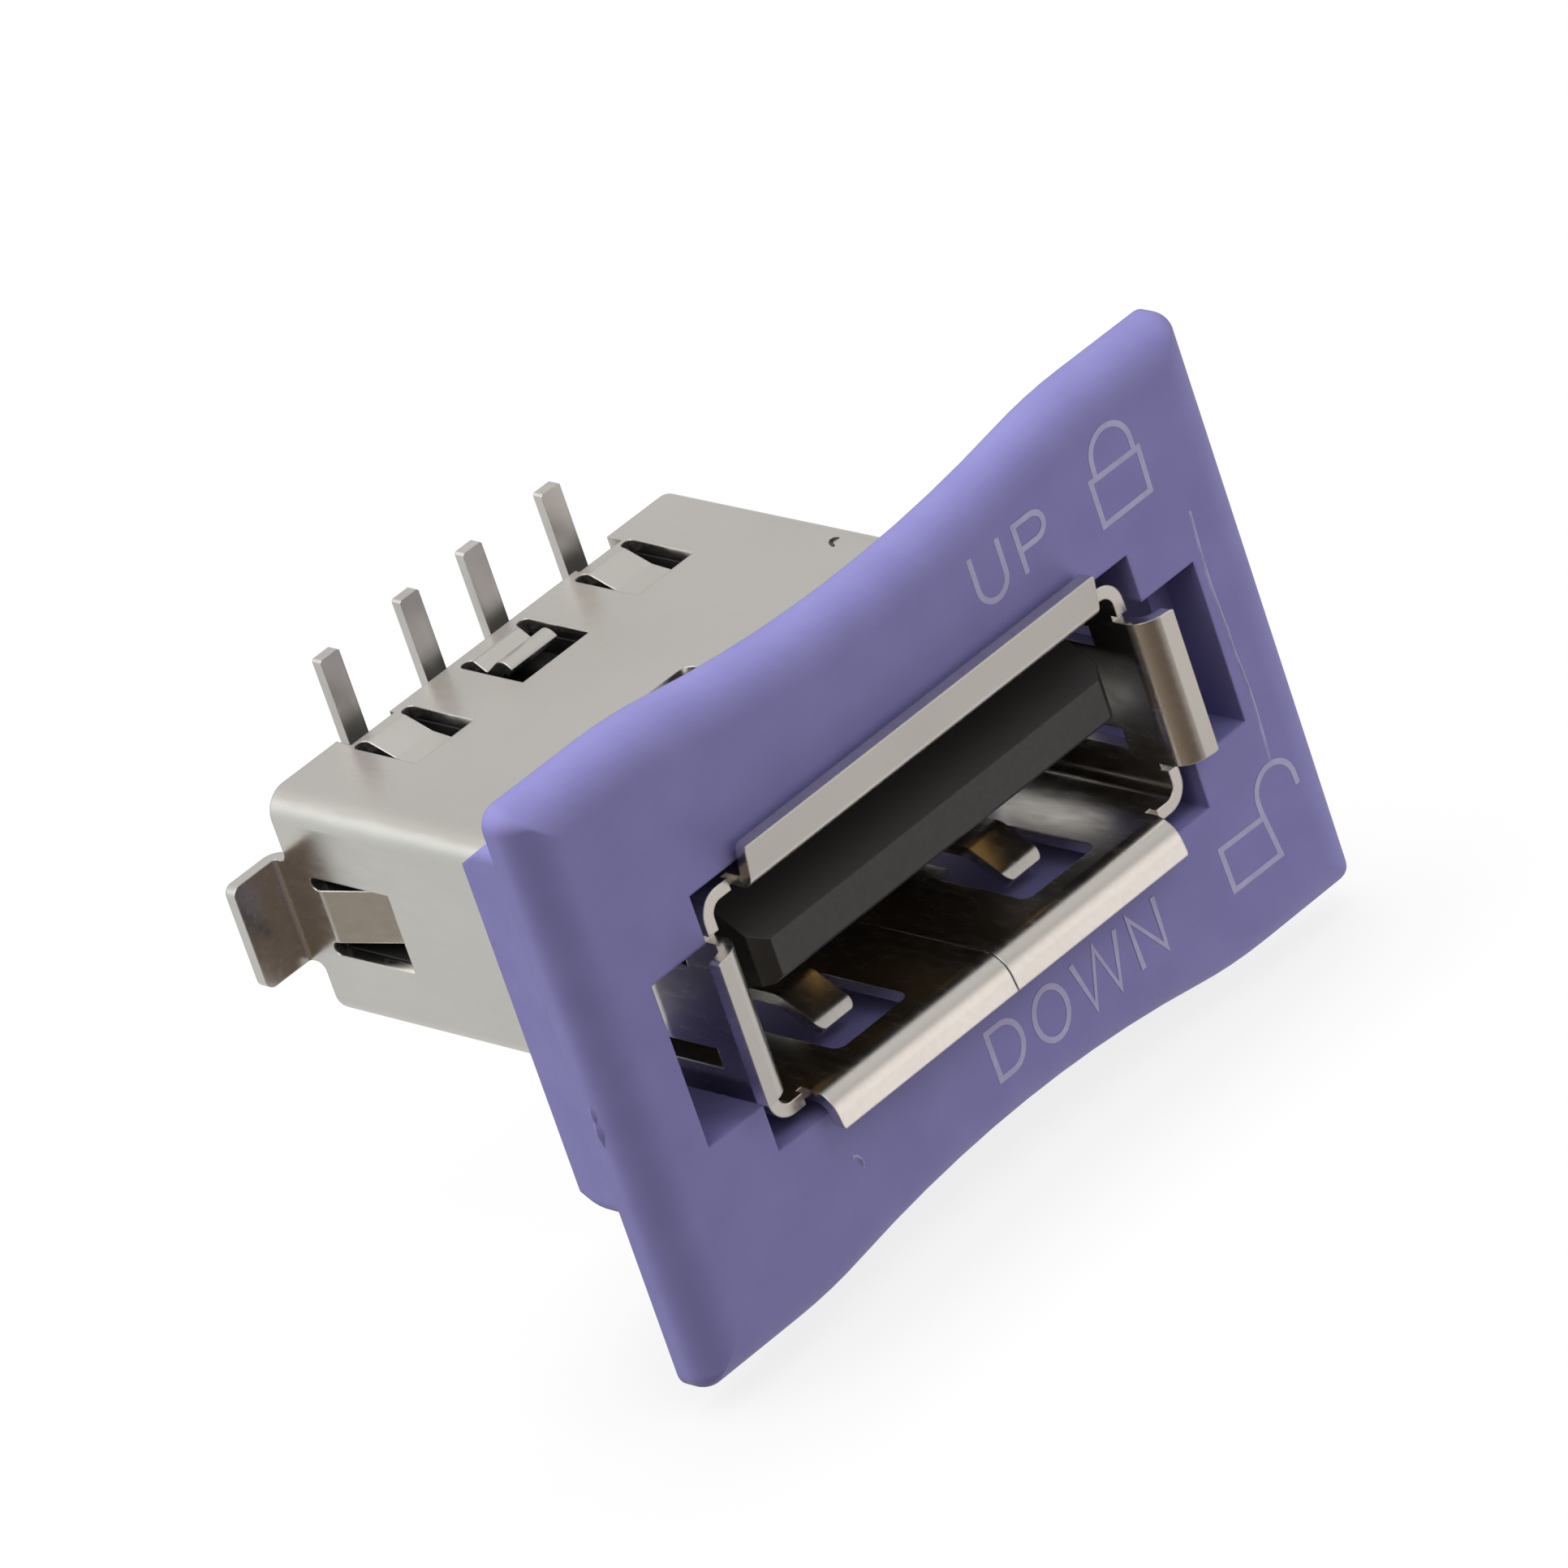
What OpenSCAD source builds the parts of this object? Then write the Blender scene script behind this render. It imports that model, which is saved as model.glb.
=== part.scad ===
// Board-mounted USB-A receptacle with a sliding lock bezel.
// X runs to the right seen from the mouth, Y to the rear, Z towards the board side.
// The origin is the middle of the mouth, in the plane of the shell's plain front edge.

/* [Shell] */
// Outer width of the folded shell
shell_w = 13.2; // [13:0.05:13.4]
// Outer height of the folded shell
shell_h = 5.7; // [5.6:0.02:5.9]
// Length from the mouth's plain edge to the rear edge
shell_len = 13.75; // [13.5:0.05:15]
// Thickness of the sheet metal
sheet = 0.3; // [0.25:0.01:0.35]
// Outer radius of the shell's long bends
shell_r = 0.6; // [0.5:0.05:0.8]
// Gap of the seam along the bottom wall
seam_gap = 0.03; // [0.03:0.01:0.12]

/* [Mouth flanges] */
// Width of the top and bottom flanges
wide_flange_w = 11; // [9:0.1:11.2]
// Height of the side flanges
side_flange_h = 3.6; // [2.6:0.1:3.8]
// Straight run of a flange before its bend
flange_run = 0.1; // [0.05:0.01:0.2]
// Radius of a flange's bend on the outer side
flange_r = 0.35; // [0.25:0.01:0.45]
// Angle that a flange is bent outward
flange_angle = 80; // [65:1:88]
// Straight lip after a flange's bend
flange_lip = 0.34; // [0.2:0.02:0.5]
// Straight run of the top flange before its bend
top_flange_run = 0.22; // [0.2:0.01:0.3]
// Radius of the top flange's tight bend on the outer side
top_flange_r = 0.04; // [0.03:0.01:0.05]
// Straight lip of the top flange
top_flange_lip = 0.8; // [0.6:0.02:0.9]
// Radius of a flange's free corners
flange_corner_r = 0.15; // [0.1:0.01:0.3]
// Width of the relief cut at each end of a flange
relief_w = 0.16; // [0.1:0.02:0.3]
// Depth of the relief cuts behind the mouth's edge
relief_d = 0.2; // [0.1:0.02:0.4]

/* [Latch fingers] */
// Distance of each latch finger from the middle
finger_x = 3; // [2.8:0.05:3.2]
// Width of a latch finger
finger_w = 1.1; // [0.8:0.05:1.4]
// Gap beside a latch finger in its window
finger_gap = 0.56; // [0.3:0.02:0.7]
// Gap beside a latch finger behind its crest
finger_slot = 0.16; // [0.1:0.02:0.4]
// Front edge of the latch finger windows
finger_window_y = 0.38; // [0.3:0.02:0.6]
// Gap in front of a latch finger's tip
finger_tip_gap = 1.12; // [0.8:0.02:1.3]
// Corner radius of a latch finger's tip
finger_corner_r = 0.2; // [0.1:0.02:0.3]
// Corner radius of the latch finger windows
finger_window_r = 0.25; // [0.15:0.01:0.3]
// Distance from the mouth to the crest of a latch finger
finger_crest_y = 3; // [2.6:0.1:4]
// Height of a latch finger's crest over the wall's inner face
finger_rise = 0.6; // [0.4:0.02:0.7]
// Distance from the mouth to the root of a latch finger
finger_root_y = 8; // [7:0.1:9]

/* [Side springs] */
// Height of a side spring
side_spring_h = 2.1; // [1.6:0.1:2.4]
// Gap above and below a side spring
side_spring_gap = 0.5; // [0.3:0.05:0.6]
// Distance from the mouth to the root of a side spring
side_root_y = 1.05; // [0.8:0.05:1.3]
// Length of a side spring that stays flat behind its root
side_flat = 1.4; // [1:0.1:1.8]
// Distance from the mouth to the crest of a side spring
side_crest_y = 4.6; // [4:0.1:5]
// Height of a side spring's crest over the wall's inner face
side_rise = 0.36; // [0.2:0.02:0.5]
// Gap behind a side spring's tip
side_tip_gap = 0.5; // [0.3:0.05:0.8]
// Rear end of the side spring windows
side_window_end = 6.5; // [6.2:0.1:7.2]

/* [Holding tabs] */
// Length of the holding tabs' windows
tab_len = 1.95; // [1.6:0.05:2.2]
// Distance from the windows' rear end to the shell's rear edge
tab_back = 0.75; // [0.6:0.05:1]
// Width of the slot on each side of a holding tab
tab_slot = 0.33; // [0.25:0.01:0.4]
// Inward set of a holding tab at its tip
tab_set = 0.36; // [0.2:0.02:0.45]
// Length of a holding tab's sloped part behind its flatter end
tab_slope = 0.75; // [0.6:0.05:0.9]
// Inward set of a holding tab where its slope ends
tab_slope_set = 0.27; // [0.15:0.01:0.3]
// Window width of the outer holding tabs in the top wall
outer_tab_w = 1.8; // [1.5:0.05:2]
// Distance of the outer holding tabs from the middle
outer_tab_x = 3.5; // [3.2:0.05:3.8]
// Window width of the middle tab in the top wall
middle_tab_w = 2.1; // [1.8:0.05:2.4]
// Distance from the middle tab's root to its valley
middle_tab_valley = 0.36; // [0.3:0.02:0.5]
// Inward set of the middle tab at its valley
middle_tab_dip = 0.24; // [0.15:0.01:0.28]
// Distance from the middle tab's root to its rolled lip
middle_tab_len = 1; // [0.95:0.01:1.1]
// Height of the middle tab's lip over the shell, before it is rolled
middle_tab_rise = 0.25; // [0.2:0.01:0.3]
// Length of the lip past its crest, along and across the shell
middle_tab_roll = 0.26; // [0.24:0.01:0.3]
// Window height of the tabs in the side walls
side_tab_h = 2; // [1.6:0.02:2.2]
// Window length of the tabs in the side walls
side_tab_len = 2.4; // [1.8:0.05:2.6]
// Height of the side tabs' middle
side_tab_z = -0.08; // [-0.2:0.02:0.2]
// Inward set of a side tab at its tip
side_tab_set = 0.68; // [0.4:0.02:0.7]
// Width of the stop tab's window in the top wall
stop_tab_w = 1.4; // [1:0.1:2]
// Rear end of the stop tab's window
stop_tab_y = 7.6; // [6.8:0.05:7.8]
// Gap behind the stop tab's tip
stop_tip_gap = 0.55; // [0.3:0.05:0.7]
// Corner radius of the stop tab's window
stop_corner_r = 0.3; // [0.1:0.05:0.4]

/* [Rear edge and wings] */
// Width of the shallow cut in the top wall's rear edge
rear_cut_w = 8.6; // [8.2:0.1:9]
// Depth of the shallow cut in the top wall's rear edge
rear_cut_d = 0.33; // [0.2:0.01:0.4]
// Inner limit of the deeper cuts beside the outer tails
rear_step_x = 2.95; // [2.8:0.05:3.1]
// Depth of the deeper cuts beside the outer tails
rear_step_d = 0.48; // [0.4:0.01:0.55]
// Height of a wing
wing_h = 2.6; // [2:0.1:3]
// Height of the wings' middle over the mouth's middle
wing_z = -0.12; // [-0.3:0.02:0.3]
// Reach of a wing from the shell's side
wing_reach = 1.3; // [1:0.05:2]
// Distance from the shell's rear edge to a wing's front face
wing_set = 0.42; // [0.3:0.02:0.6]
// Bend radius of a wing on its inner side
wing_r = 0.08; // [0.05:0.01:0.15]
// Radius of a wing's outer corners
wing_corner_r = 0.22; // [0.1:0.02:0.4]
// Radius where a wing's neck leaves the shell's rear edge
wing_neck_r = 0.22; // [0.1:0.02:0.28]

/* [Insulator] */
// Gap between the insulator and the shell's inside
insulator_fit = 0.04; // [0.02:0.01:0.08]
// Distance from the mouth to the insulator block
block_y = 8.3; // [8.1:0.1:9]
// Distance from the insulator block to the shell's rear edge
block_back = 0.45; // [0.4:0.05:0.7]
// Thickness of the tongue
tongue_t = 1.84; // [1.7:0.02:1.9]
// Width of the tongue
tongue_w = 11.1; // [10.8:0.1:11.3]
// Gap between the tongue and the top wall
tongue_gap = 0.72; // [0.6:0.02:0.9]
// Place of the tongue's tip, counted from the mouth to the rear
tongue_tip_y = -0.1; // [-0.3:0.05:0.6]
// Height of the tongue's blunt front face
nose_h = 1.06; // [0.7:0.02:1.2]
// Bevel under the tongue's front face
nose_bevel = 0.14; // [0.05:0.01:0.2]
// Length of the slope on top of the tongue's nose
nose_run = 1.3; // [0.8:0.1:2]
// Corner cut of the tongue's tip
nose_corner = 0.35; // [0.2:0.05:0.6]

/* [Contacts] */
// Distance of the outer contacts from the middle
outer_contact_x = 3.5; // [3.4:0.05:3.6]
// Distance of the inner contacts from the middle
inner_contact_x = 1; // [0.95:0.05:1.1]
// Thickness of the contact strip
contact_t = 0.28; // [0.2:0.01:0.3]
// Width of a contact on the tongue
contact_w = 1; // [0.8:0.05:1.1]
// Width of a contact's tail
tail_w = 0.58; // [0.45:0.01:0.7]
// Gap between a contact and its seat
contact_fit = 0.03; // [0.02:0.01:0.05]
// Front end of the outer contacts
outer_contact_y = 1; // [0.9:0.05:1.2]
// Front end of the inner contacts
inner_contact_y = 2; // [1.8:0.05:2.2]
// Distance from a contact's front end to its crest
contact_crest = 1.7; // [1.4:0.1:2]
// Drop of a contact's crest below the tongue
contact_drop = 0.35; // [0.2:0.05:0.5]
// Height of a contact's run over the tongue's underside
contact_seat = 0.06; // [0.03:0.01:0.1]
// Gap between the shell's rear edge and the tails
tail_gap = 0.3; // [0.2:0.02:0.5]
// Reach of the tails past the shell's top face
tail_reach = 1.68; // [1.2:0.02:3]

/* [Lock slide] */
// Width of the slide's plate
plate_w = 20.94; // [20:0.02:22]
// Height of the slide's plate
plate_h = 14.48; // [13.6:0.02:15.4]
// Thickness of the slide's plate
plate_t = 1.13; // [1:0.01:1.5]
// Corner radius of the plate's outline
plate_corner_r = 0.46; // [0.3:0.02:0.6]
// Width of the plate's curved rim, seen from the front
rim_w = 1; // [0.8:0.05:1.2]
// Height of the square edge behind the curved rim
rim_edge = 0.3; // [0.1:0.02:0.4]
// Depth of the bow in the plate's top and bottom edges
bow_depth = 0.67; // [0.4:0.01:0.9]
// Half width of the bow
bow_half = 6.5; // [6:0.1:8]
// Radius that blends the bow into the plate's straight edge
bow_blend_r = 12; // [6:1:16]
// Gap between the plate's front face and the bent flanges
plate_behind = 0.05; // [0.04:0.01:0.1]
// Width of the collar behind the plate
collar_w = 17.2; // [16.8:0.05:18]
// Height of the collar behind the plate
collar_h = 9.3; // [9:0.05:9.8]
// Length of the collar behind the plate
collar_len = 3.76; // [3:0.02:4.4]
// Corner radius of the collar
collar_r = 0.35; // [0.3:0.05:0.5]
// Length of the slope on the collar's rear edges, above and below
collar_slope_y = 0.75; // [0.5:0.05:0.9]
// Height of the slope on the collar's rear edges
collar_slope_z = 0.5; // [0.3:0.05:0.6]
// Reach of the lip on the collar's rear, under the latch fingers
lip_reach = 0.4; // [0.2:0.05:0.6]
// Width of the lip
lip_w = 9; // [8:0.1:10]
// Thickness of the lip
lip_t = 0.7; // [0.5:0.05:0.8]
// Radius of the fillet between collar and plate
collar_fillet = 0.5; // [0.3:0.05:0.6]
// Travel of the slide up or down from the middle
lock_travel = 0.3; // [0.2:0.01:0.35]
// Gap left between slide and shell at the end of the travel
stop_gap = 0.05; // [0.03:0.01:0.08]
// Side gap between slide and shell
slide_fit = 0.28; // [0.15:0.01:0.35]
// Height of the side pockets
pocket_h = 4.05; // [3.9:0.05:4.4]
// Wall between a pocket and the collar's outer face, in the plate
pocket_wall = 0.05; // [0.03:0.01:0.1]
// Wall of the collar beside the pockets
collar_wall = 0.65; // [0.5:0.05:0.9]

/* [Hidden] */
$fn = 48;
// Overlap that lets cuts pass a face and joined shapes share volume
eps = 0.1;

half_w = shell_w / 2;
half_h = shell_h / 2;
inner_w = half_w - sheet;
inner_h = half_h - sheet;

finger_tip_y = finger_window_y + finger_tip_gap;
side_tip_y = side_window_end - side_tip_gap;
tab_rear_y = shell_len - tab_back;
tab_front_y = tab_rear_y - tab_len;
stop_root_y = stop_tab_y - tab_len;
// Gap between a tab's tip and the end of its window
tab_tip_gap = 0.12;

block_rear_y = shell_len - block_back;
block_w = 2 * (inner_w - insulator_fit);
block_h = 2 * (inner_h - insulator_fit);
tongue_top = inner_h - tongue_gap;
tongue_bottom = tongue_top - tongue_t;
// Room in the insulator around a holding tab
tab_room = 0.15;
// Depth of the grooves under the tongue that the contacts spring in
groove_d = contact_seat + 2 * contact_t;

contact_z = tongue_bottom + contact_seat;
tail_y = shell_len + tail_gap;
tail_tip_z = half_h + tail_reach;
// Bend radius of a contact strip and length of the bevel on its tail
contact_r = 0.3;
tail_bevel = 0.05;
// Length of a contact's wide part inside the insulator block
contact_hold = block_rear_y - block_y - 0.6;

// Reach of a flange past the shell's outer face
flange_reach = flange_r * (1 - cos(flange_angle)) + flange_lip * sin(flange_angle);
top_flange_reach = top_flange_r * (1 - cos(flange_angle)) + top_flange_lip * sin(flange_angle);
// Places on the flanges' backs that the slide's edges pass at the end of its travel
flange_back = flange_run + sqrt(flange_r * flange_r - pow(flange_r - stop_gap, 2));
top_flange_back = top_flange_run + top_flange_r * sin(flange_angle);
plate_y = plate_behind - min(flange_back, top_flange_back);
plate_rear_y = plate_y + plate_t;
collar_rear_y = plate_rear_y + collar_len;
window_w = 2 * (half_w + slide_fit);
window_h = 2 * (half_h + lock_travel + stop_gap);
pocket_w = collar_w - 2 * pocket_wall;
channel_w = collar_w - 2 * collar_wall;
// The plate's flat core inside its curved rim, and the circle of its bow
core_z = plate_h / 2 - rim_w;
bow_r = (bow_half * bow_half + bow_depth * bow_depth) / (2 * bow_depth);
bow_angle = asin(bow_half / bow_r);
bow_z = core_z - bow_depth + bow_r;
// Middle and turn of the circle that blends the bow into the straight edge
blend_z = plate_h / 2 - bow_blend_r;
blend_x = sqrt(pow(bow_r - rim_w + bow_blend_r, 2) - pow(bow_z - blend_z, 2));
blend_angle = atan2(blend_x, bow_z - blend_z);

steel = [0.72, 0.7, 0.66];
tin = [0.66, 0.64, 0.6];
black = [0.09, 0.09, 0.1];
violet = [0.42, 0.38, 0.68];

// Path tools: a line with rounded corners, and a sheet strip that follows it
function left_of(p, q) = [p[1] - q[1], q[0] - p[0]] / norm(q - p);
function turn(a, b) = (b - a + 540) % 360 - 180;
function corner_arc(a, b, c, r, n) =
    let (
        u = (a - b) / norm(a - b),
        v = (c - b) / norm(c - b),
        half = acos(u * v) / 2,
        centre = b + (u + v) / norm(u + v) * r / sin(half),
        s = b + u * r / tan(half) - centre,
        e = b + v * r / tan(half) - centre,
        a0 = atan2(s[1], s[0]),
        sweep = turn(a0, atan2(e[1], e[0]))
    )
    [for (i = [0:n]) centre + r * [cos(a0 + sweep * i / n), sin(a0 + sweep * i / n)]];
function rounded_path(p, radii, n = 6) =
    concat(
        [p[0]],
        [for (i = [1:len(p) - 2]) each corner_arc(p[i - 1], p[i], p[i + 1], radii[i - 1], n)],
        [p[len(p) - 1]]
    );
function offset_path(p, t) =
    let (last = len(p) - 1)
    [
        for (i = [0:last])
            let (
                before = left_of(p[max(i - 1, 0)], p[max(i - 1, 0) + 1]),
                after = left_of(p[min(i, last - 1)], p[min(i, last - 1) + 1])
            )
            p[i] + t * (before + after) / (1 + before * after)
    ];
function strip(p, t) =
    let (q = offset_path(p, t))
    concat(p, [for (i = [len(q) - 1:-1:0]) q[i]]);

// A drawing in X and Z drawn out along Y
module along_y(y0, y1) {
    translate([0, y1, 0]) rotate([90, 0, 0]) linear_extrude(y1 - y0) children();
}

// A drawing in Y and Z drawn out along X, centred
module across(w) {
    translate([-w / 2, 0, 0]) rotate([90, 0, 90]) linear_extrude(w) children();
}

module rounded_rect(w, h, r) {
    square([w, h - 2 * r], center = true);
    square([w - 2 * r, h], center = true);
    for (x = [-1, 1], y = [-1, 1])
        translate([x * (w / 2 - r), y * (h / 2 - r)]) circle(r);
}

// A rounded plan of width w that runs from y0 to y1
module lengthwise(w, y0, y1, r) {
    translate([0, (y0 + y1) / 2]) rounded_rect(w, y1 - y0, r);
}

// A box given by its two corners
module box(low, high) {
    translate(low) cube(high - low);
}

// A copy on each side of the middle
module both_sides() {
    children();
    mirror([1, 0, 0]) children();
}

// A shape drawn at the top wall, turned to both side walls
module on_side_walls() {
    for (turned = [90, 270]) rotate([0, turned, 0]) children();
}

module at_side_tabs() {
    both_sides() rotate([0, 90, 0]) translate([-side_tab_z, 0, 0]) children();
}

// Section of a sheet that runs along the axis and then bends upward
module bent_section(run, r, angle, lip) {
    reach = 2 * (r + sheet);
    translate([-eps, 0]) square([run + eps, sheet]);
    translate([run, sheet + r]) {
        intersection() {
            difference() {
                circle(r + sheet);
                circle(r);
            }
            polygon([
                [0, 0],
                [0, -reach],
                [reach * sin(angle / 2), -reach * cos(angle / 2)],
                [reach * sin(angle), -reach * cos(angle)]
            ]);
        }
        rotate(angle) translate([-0.02, -r - sheet]) square([lip + 0.02, sheet]);
    }
}

// One flange at the mouth, drawn at the top wall, with rounded corners
module flange(w, wall, run = flange_run, r = flange_r, lip = flange_lip, reach = flange_reach) {
    intersection() {
        across(w) translate([0, wall]) mirror([1, 0]) bent_section(run, r, flange_angle, lip);
        along_y(-2, 2) translate([0, wall + sheet]) rounded_rect(w, 2 * reach, flange_corner_r);
    }
}

module flange_reliefs(w, wall) {
    both_sides()
        box([w / 2, -relief_d, wall - eps], [w / 2 + relief_w, relief_d, wall + sheet + eps]);
}

module folded_tube() {
    along_y(0, shell_len) difference() {
        rounded_rect(shell_w, shell_h, shell_r);
        rounded_rect(2 * inner_w, 2 * inner_h, shell_r - sheet);
    }
    flange(wide_flange_w, inner_h, top_flange_run, top_flange_r, top_flange_lip, top_flange_reach);
    rotate([0, 180, 0]) flange(wide_flange_w, inner_h);
    on_side_walls() flange(side_flange_h, inner_w);
}

// Window of a holding tab with round slot ends at its root
module tab_window(w, wall, len = tab_len) {
    box([-w / 2, tab_rear_y - len, wall - eps], [w / 2, tab_rear_y, wall + sheet + eps]);
    both_sides() translate([(w - tab_slot) / 2, tab_rear_y, wall - eps])
        cylinder(d = tab_slot, h = sheet + 2 * eps);
}

module top_wall_cuts() {
    both_sides() translate([outer_tab_x, 0, 0]) tab_window(outer_tab_w, inner_h);
    tab_window(middle_tab_w, inner_h);
    translate([0, 0, inner_h - eps]) linear_extrude(sheet + 2 * eps)
        lengthwise(stop_tab_w, stop_root_y, stop_tab_y, stop_corner_r);
    box(
        [-rear_cut_w / 2, shell_len - rear_cut_d, inner_h - eps],
        [rear_cut_w / 2, shell_len + eps, half_h + eps]
    );
    both_sides() box(
        [rear_step_x, shell_len - rear_step_d, inner_h - eps],
        [rear_cut_w / 2, shell_len, half_h + eps]
    );
}

module bottom_wall_cuts() {
    wide = finger_w + 2 * finger_gap;
    narrow = finger_w + 2 * finger_slot;
    both_sides() translate([finger_x, 0, -half_h - eps]) linear_extrude(sheet + 2 * eps) {
        lengthwise(wide, finger_window_y, finger_crest_y + finger_window_r, finger_window_r);
        lengthwise(narrow, finger_window_y, finger_root_y, finger_window_r);
    }
    box([-seam_gap / 2, -2, -half_h - 2], [seam_gap / 2, shell_len + eps, -inner_h + eps]);
}

// Cuts in one side wall, drawn at the top wall
module side_wall_cuts() {
    spring_half = side_spring_h / 2 + side_spring_gap;
    box([-spring_half, side_root_y, inner_w - eps], [spring_half, side_window_end, half_w + eps]);
}

// A spring that rises behind its root to a crest and curls down at its tip
module spring(w, root, flat, crest, tip, rise) {
    across(w) polygon(strip(rounded_path([
        [root + eps, 0],
        [root - flat, 0],
        [crest + 0.4, rise],
        [crest - 0.4, rise],
        [tip + 0.2, 0.1],
        [tip, -0.12]
    ], [1, 0.6, 0.6, 0.4]), sheet));
}

// A latch finger, with its tip's corners rounded
module latch_finger() {
    intersection() {
        spring(finger_w, finger_root_y, 0, finger_crest_y, finger_tip_y, finger_rise);
        translate([0, 0, -1]) linear_extrude(2 + finger_rise)
            lengthwise(finger_w, finger_tip_y, finger_root_y + 1, finger_corner_r);
    }
}

// A tab that leans in from its root at the rear and flattens out, drawn at the top wall
module holding_tab(w, wall) {
    across(w) polygon(strip(rounded_path([
        [tab_rear_y + eps, wall],
        [tab_rear_y, wall],
        [tab_rear_y - tab_slope, wall - tab_slope_set],
        [tab_front_y + tab_tip_gap, wall - tab_set]
    ], [0.4, 0.5]), -sheet));
}

// The short middle tab, which dips into a valley and rises to a rolled lip
module middle_tab(w) {
    across(w) polygon(strip(rounded_path([
        [tab_rear_y + 2 * eps, half_h],
        [tab_rear_y, half_h],
        [tab_rear_y - middle_tab_valley, half_h - middle_tab_dip],
        [tab_rear_y - middle_tab_len, half_h + middle_tab_rise],
        [tab_rear_y - middle_tab_len - middle_tab_roll, half_h + middle_tab_rise - middle_tab_roll]
    ], [0.42, 0.08, 1.1 * sheet]), sheet));
}

// A tab in a side wall, one long slope, drawn at the top wall
module side_tab(w) {
    across(w) polygon(strip(rounded_path([
        [tab_rear_y + 2 * eps, inner_w],
        [tab_rear_y, inner_w],
        [tab_rear_y - side_tab_len + tab_tip_gap, inner_w - side_tab_set]
    ], [0.3]), -sheet));
}

// A tab with its root in front, which stops the insulator's forward slide
module stop_tab(w) {
    across(w) polygon(strip([
        [stop_root_y - eps, inner_h],
        [stop_root_y, inner_h],
        [stop_tab_y - stop_tip_gap, inner_h - tab_set]
    ], sheet));
}

// A wing on a short neck behind a side wall, bent outward, drawn at the top wall
module wing() {
    intersection() {
        across(wing_h) translate([shell_len, inner_w])
            bent_section(wing_set - wing_r, wing_r, 90, wing_reach - wing_r);
        along_y(shell_len - 1, shell_len + 2)
            translate([0, inner_w]) rounded_rect(wing_h, 2 * (wing_reach + sheet), wing_corner_r);
    }
    both_sides() translate([wing_h / 2, shell_len, inner_w]) linear_extrude(sheet) difference() {
        translate([-eps, -eps]) square(wing_neck_r + eps);
        translate([wing_neck_r, wing_neck_r]) circle(wing_neck_r);
    }
}

// The shell: a folded tube with its flanges, springs, tabs and wings in one stamping
module shell() {
    color(steel) {
        difference() {
            folded_tube();
            for (turned = [0, 180]) rotate([0, turned, 0]) flange_reliefs(wide_flange_w, inner_h);
            on_side_walls() flange_reliefs(side_flange_h, inner_w);
            top_wall_cuts();
            bottom_wall_cuts();
            on_side_walls() side_wall_cuts();
            at_side_tabs() tab_window(side_tab_h, inner_w, side_tab_len);
        }
        both_sides() {
            translate([outer_tab_x, 0, 0]) holding_tab(outer_tab_w - 2 * tab_slot, inner_h);
            translate([finger_x, 0, -inner_h]) latch_finger();
        }
        middle_tab(middle_tab_w - 2 * tab_slot);
        stop_tab(stop_tab_w - 2 * tab_slot);
        on_side_walls() {
            translate([0, 0, inner_w]) mirror([0, 0, 1]) mirror([0, 1, 0])
                spring(side_spring_h, -side_root_y, side_flat, -side_crest_y, -side_tip_y, side_rise);
        }
        at_side_tabs() side_tab(side_tab_h - 2 * tab_slot);
        both_sides() rotate([0, 90, 0]) translate([-wing_z, 0, 0]) wing();
    }
}

// Room for a tab in the insulator block, drawn at the top wall
module tab_pocket(w, wall, depth, len = tab_len) {
    box([-w / 2, tab_rear_y - len - tab_room, wall - depth], [w / 2, tab_rear_y + eps, wall + eps]);
}

// The side view of the tongue, blunt at its tip and sloped on top
module tongue_side() {
    polygon([
        [block_y + 1, tongue_bottom],
        [tongue_tip_y + nose_bevel, tongue_bottom],
        [tongue_tip_y, tongue_bottom + nose_bevel],
        [tongue_tip_y, tongue_bottom + nose_h],
        [tongue_tip_y + nose_run, tongue_top],
        [block_y + 1, tongue_top]
    ]);
}

// The plan of the tongue, with its tip's corners cut
module tongue_plan() {
    polygon([
        [-tongue_w / 2, block_y + 1],
        [-tongue_w / 2, tongue_tip_y + nose_corner],
        [-tongue_w / 2 + nose_corner, tongue_tip_y],
        [tongue_w / 2 - nose_corner, tongue_tip_y],
        [tongue_w / 2, tongue_tip_y + nose_corner],
        [tongue_w / 2, block_y + 1]
    ]);
}

// Groove under the tongue and seat through the block for one contact
module contact_seat_cut(x, front) {
    groove_half = contact_w / 2 + contact_fit;
    low = contact_z - contact_fit;
    high = contact_z + contact_t + contact_fit;
    box([x - groove_half, front - 0.2, tongue_bottom - eps], [x + groove_half, block_y, tongue_bottom + groove_d]);
    box([x - groove_half, block_y - eps, low], [x + groove_half, block_y + contact_hold + contact_fit, high]);
    box(
        [x - tail_w / 2 - contact_fit, block_y, low],
        [x + tail_w / 2 + contact_fit, block_rear_y + eps, high]
    );
}

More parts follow.
